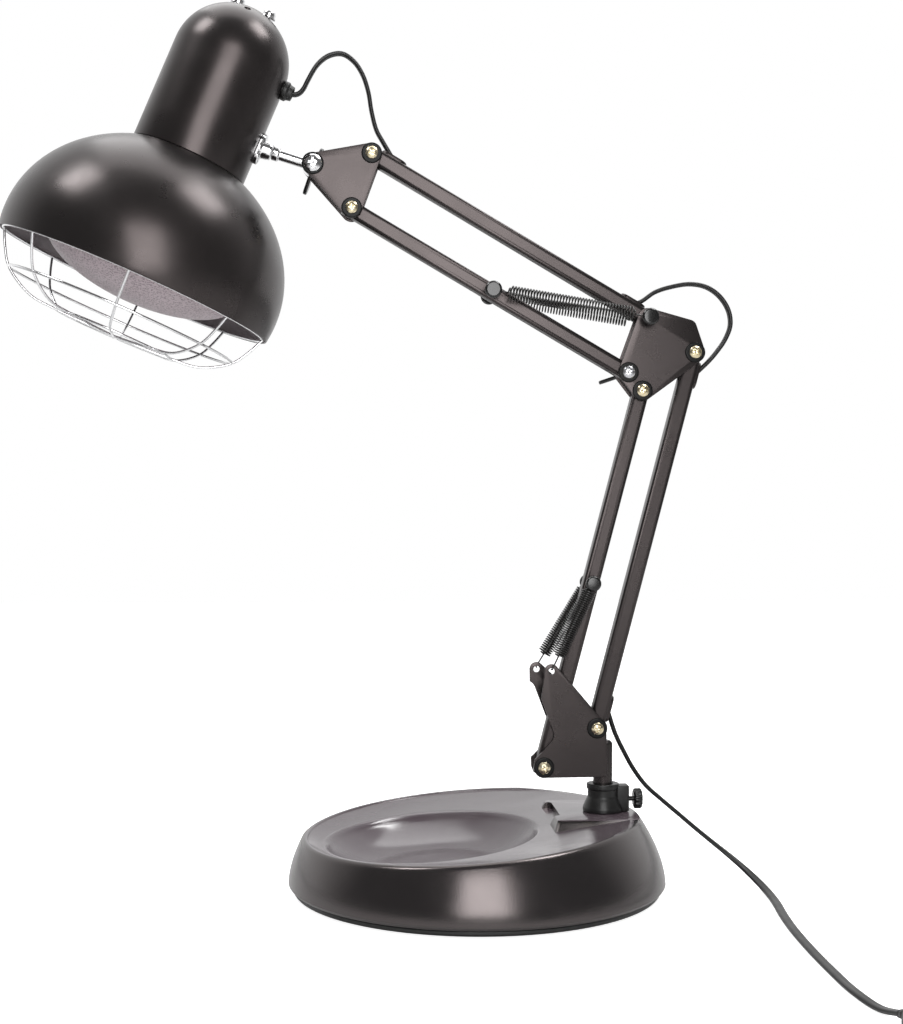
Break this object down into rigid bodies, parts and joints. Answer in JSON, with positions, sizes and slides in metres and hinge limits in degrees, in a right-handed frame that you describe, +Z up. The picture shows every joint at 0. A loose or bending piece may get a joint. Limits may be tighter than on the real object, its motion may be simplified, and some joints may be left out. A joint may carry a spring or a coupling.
{
  "type": "infrared heat therapy lamp",
  "caption": "Heat lamp with bell shade and wire guard on a sprung two-part parallel arm, weighted round base with dish, in-line switch and coiled mains lead.",
  "frame": {"origin": "on the table under the centre of the round base, in the plane of the base cover's feet", "axes": "+Z up, head towards -X, the arms' front face looks along -Y"},
  "size_m": [0.4797, 0.5676, 0.5514],
  "materials": {
    "satin_black": "satin black paint",
    "grain_black": "fine-grained black plastic",
    "gloss_black": "glossy black plastic",
    "soft_black": "dull black plastic",
    "cord_black": "soft black cord sheath",
    "chrome": "polished chrome plate",
    "yellow_zinc": "yellow zinc plated steel",
    "bright_zinc": "bright zinc plated steel",
    "cast_iron": "raw cast iron",
    "porcelain": "glazed white ceramic",
    "frosted_glass": "frosted bulb glass",
    "brass": "bright brass"
  },
  "bodies": {
    "base": {"base_shell": "grain_black", "base_cover": "soft_black", "ballast_weight": "cast_iron", "post_socket": "soft_black", "mains_lead_3": "cord_black", "mains_coil": "cord_black", "plug_body": "soft_black", "plug_blade_1": "brass", "plug_blade_2": "brass", "switch_housing": "soft_black"},
    "knob": {"clamp_knob": "soft_black"},
    "rocker": {"switch_rocker": "gloss_black"},
    "lower_bracket": {"post_rod": "satin_black", "lower_plate_front": "satin_black", "lower_plate_rear": "satin_black", "lower_front_bolt": "yellow_zinc", "lower_rear_bolt": "yellow_zinc", "mains_lead_1": "cord_black", "mains_lead_2": "cord_black", "lower_spring_front": "satin_black", "lower_spring_rear": "satin_black"},
    "lower_rear": {"lower_rear_tube": "satin_black", "lower_inner_lead": "cord_black"},
    "lower_front": {"lower_front_tube": "satin_black", "lower_spring_pin": "satin_black"},
    "elbow": {"elbow_plate_front": "satin_black", "elbow_plate_rear": "satin_black", "elbow_low_bolt": "yellow_zinc", "elbow_rear_bolt": "yellow_zinc", "elbow_clamp_bolt": "bright_zinc", "elbow_spring_pin": "satin_black", "elbow_lead_1": "cord_black", "elbow_lead_2": "cord_black", "upper_spring_front": "satin_black", "upper_spring_rear": "satin_black"},
    "elbow_nut": {"elbow_wing_nut": "chrome"},
    "upper_top": {"upper_top_tube": "satin_black", "upper_inner_lead": "cord_black"},
    "upper_low": {"upper_low_tube": "satin_black", "upper_spring_pin": "satin_black"},
    "head_bracket": {"head_plate_front": "satin_black", "head_plate_rear": "satin_black", "head_top_bolt": "yellow_zinc", "head_low_bolt": "yellow_zinc", "head_clamp_bolt": "chrome", "head_lead_2": "cord_black", "head_lead_3": "cord_black"},
    "head_nut": {"head_wing_nut": "chrome"},
    "stem": {"head_stem": "chrome", "head_lead_1": "cord_black"},
    "head": {"saddle": "chrome", "socket_cup": "satin_black", "lampholder": "porcelain", "shade": "satin_black", "guard": "chrome", "bulb": "frosted_glass", "dome_screw_1": "chrome", "dome_screw_2": "chrome", "lead_gland": "soft_black"}
  },
  "joints": [
    {"name": "base_swivel", "type": "hinge", "parent": "base", "child": "lower_bracket", "pos_m": [0.0798, 0.007, 0.0673], "axis": [0, 0, 1], "range_deg": [-100, 100], "deforming": ["mains_lead_2"]},
    {"name": "lower_arm", "type": "hinge", "parent": "lower_bracket", "child": "lower_rear", "pos_m": [0.075, 0.007, 0.0996], "axis": [0, 1, 0], "range_deg": [-35, 20], "deforming": ["mains_lead_1"]},
    {"name": "lower_link", "type": "hinge", "parent": "lower_bracket", "child": "lower_front", "pos_m": [0.04183, 0.007, 0.0755], "axis": [0, 1, 0], "range_deg": [-35, 20], "deforming": ["lower_spring_front", "lower_spring_rear"]},
    {"name": "elbow_level", "type": "hinge", "parent": "lower_rear", "child": "elbow", "pos_m": [0.13682, 0.007, 0.33357], "axis": [0, 1, 0], "range_deg": [-20, 35], "deforming": ["elbow_lead_2"]},
    {"name": "upper_arm", "type": "hinge", "parent": "elbow", "child": "upper_top", "pos_m": [0.10722, 0.007, 0.35467], "axis": [0, 1, 0], "range_deg": [-25, 45], "deforming": ["elbow_lead_1"]},
    {"name": "upper_link", "type": "hinge", "parent": "elbow", "child": "upper_low", "pos_m": [0.09491, 0.007, 0.32084], "axis": [0, 1, 0], "range_deg": [-25, 45], "deforming": ["upper_spring_front", "upper_spring_rear"]},
    {"name": "head_level", "type": "hinge", "parent": "upper_top", "child": "head_bracket", "pos_m": [-0.06477, 0.007, 0.45477], "axis": [0, 1, 0], "range_deg": [-45, 25], "deforming": ["head_lead_3"]},
    {"name": "head_tilt", "type": "hinge", "parent": "head_bracket", "child": "stem", "pos_m": [-0.10097, 0.007, 0.44787], "axis": [0, 1, 0], "range_deg": [-35, 50], "deforming": ["head_lead_2"]},
    {"name": "head_roll", "type": "hinge", "parent": "stem", "child": "head", "pos_m": [-0.13444, 0.007, 0.45811], "axis": [0.9563, 0, -0.2924], "range_deg": [-45, 45], "deforming": ["head_lead_1"]},
    {"name": "knob_turn", "type": "hinge", "parent": "base", "child": "knob", "pos_m": [0.0975, 0.007, 0.0544], "axis": [1, 0, 0], "range_deg": [-180, 180]},
    {"name": "elbow_nut_turn", "type": "hinge", "parent": "elbow", "child": "elbow_nut", "pos_m": [0.09491, 0.017, 0.32084], "axis": [0, 1, 0], "range_deg": [-180, 180]},
    {"name": "head_nut_turn", "type": "hinge", "parent": "head_bracket", "child": "head_nut", "pos_m": [-0.10097, 0.017, 0.44787], "axis": [0, 1, 0], "range_deg": [-180, 180]},
    {"name": "rocker_tip", "type": "hinge", "parent": "base", "child": "rocker", "pos_m": [0.1739, -0.313, 0.016], "axis": [1, 0, 0], "range_deg": [-14, 0]}
  ],
  "couplings": [
    {"joint": "lower_link", "follows": "lower_arm", "ratio": 1},
    {"joint": "elbow_level", "follows": "lower_arm", "ratio": -1},
    {"joint": "upper_link", "follows": "upper_arm", "ratio": 1},
    {"joint": "head_level", "follows": "upper_arm", "ratio": -1}
  ]
}
